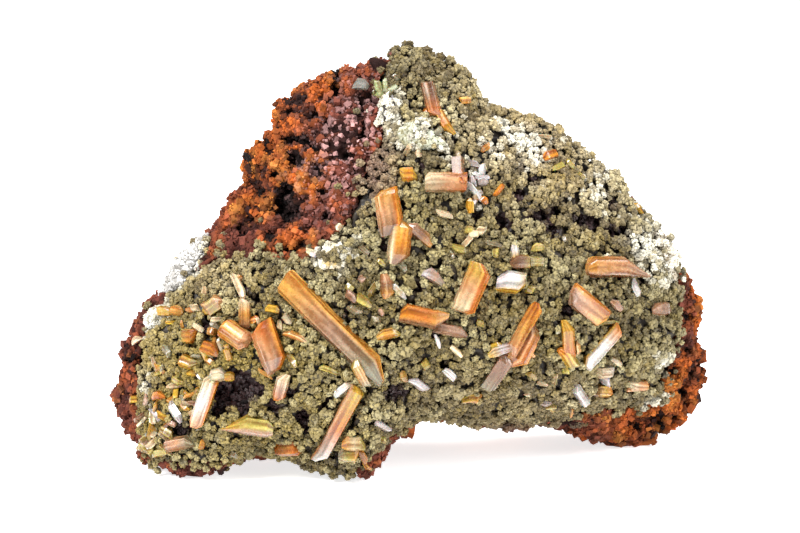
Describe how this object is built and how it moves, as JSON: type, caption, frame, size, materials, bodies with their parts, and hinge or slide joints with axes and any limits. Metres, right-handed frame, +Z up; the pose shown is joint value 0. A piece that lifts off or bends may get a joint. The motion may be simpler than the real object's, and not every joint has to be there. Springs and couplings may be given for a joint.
{
  "type": "mimetite mineral specimen",
  "caption": "Free-standing lump of rusty limonite rock with a grey-green crust of mimetite, orange wulfenite blades grown on its face, and white calcite patches.",
  "frame": {"origin": "middle of the bounding box in X and Y, on the surface that the feet stand on", "axes": "+Z up; +X along the longest side, to the right as the crusted face is looked at; the crusted face looks along -Y"},
  "size_m": [0.0817, 0.0379, 0.0564],
  "materials": {
    "limonite": "rough, earthy and pitted",
    "mimetite": "small rounded glistening balls",
    "calcite": "white, sugary",
    "wulfenite_orange": "glossy, slightly see-through",
    "wulfenite_brown": "glossy, slightly see-through",
    "wulfenite_yellow": "glossy, slightly see-through"
  },
  "bodies": {
    "root": {"limonite_matrix": "limonite", "mimetite_crust": "mimetite", "calcite_left_shoulder": "calcite", "calcite_left_edge": "calcite", "calcite_middle_patch": "calcite", "calcite_top_cluster": "calcite", "calcite_top_patch": "calcite", "calcite_right_rim": "calcite", "wulfenite_long_blade": "wulfenite_brown", "wulfenite_long_prism": "wulfenite_orange", "wulfenite_foot_block": "wulfenite_yellow", "wulfenite_low_nugget": "wulfenite_orange", "wulfenite_left_block": "wulfenite_orange", "wulfenite_left_stub": "wulfenite_orange", "wulfenite_thin_spear": "wulfenite_orange", "wulfenite_upright_prism": "wulfenite_orange", "wulfenite_lens_blade": "wulfenite_yellow", "wulfenite_bead": "wulfenite_yellow", "wulfenite_centre_blade": "wulfenite_orange", "wulfenite_brown_prism": "wulfenite_yellow", "wulfenite_twin_blades": "wulfenite_orange", "wulfenite_wedge": "wulfenite_brown", "wulfenite_large_prism": "wulfenite_orange", "wulfenite_peach_prism": "wulfenite_orange", "wulfenite_yellow_cube": "wulfenite_yellow", "wulfenite_upper_trio": "wulfenite_yellow", "pale_round_crystal": "calcite", "wulfenite_crossed_blades": "wulfenite_orange", "wulfenite_right_spear": "wulfenite_brown", "wulfenite_right_prism": "wulfenite_orange", "wulfenite_bicoloured_blade": "wulfenite_orange", "wulfenite_paired_spears": "wulfenite_yellow", "wulfenite_pale_stub": "wulfenite_yellow", "wulfenite_olive_stub": "wulfenite_yellow", "calcite_prism": "calcite", "wulfenite_yellow_nugget": "wulfenite_yellow", "wulfenite_right_nugget": "wulfenite_orange", "wulfenite_top_column": "wulfenite_brown", "wulfenite_left_cube": "wulfenite_yellow", "wulfenite_shoulder_cube": "wulfenite_yellow", "wulfenite_yellow_block": "wulfenite_yellow", "wulfenite_striped_prism": "wulfenite_orange", "calcite_left_shard": "calcite", "wulfenite_corner_block": "wulfenite_brown"}
  },
  "joints": []
}
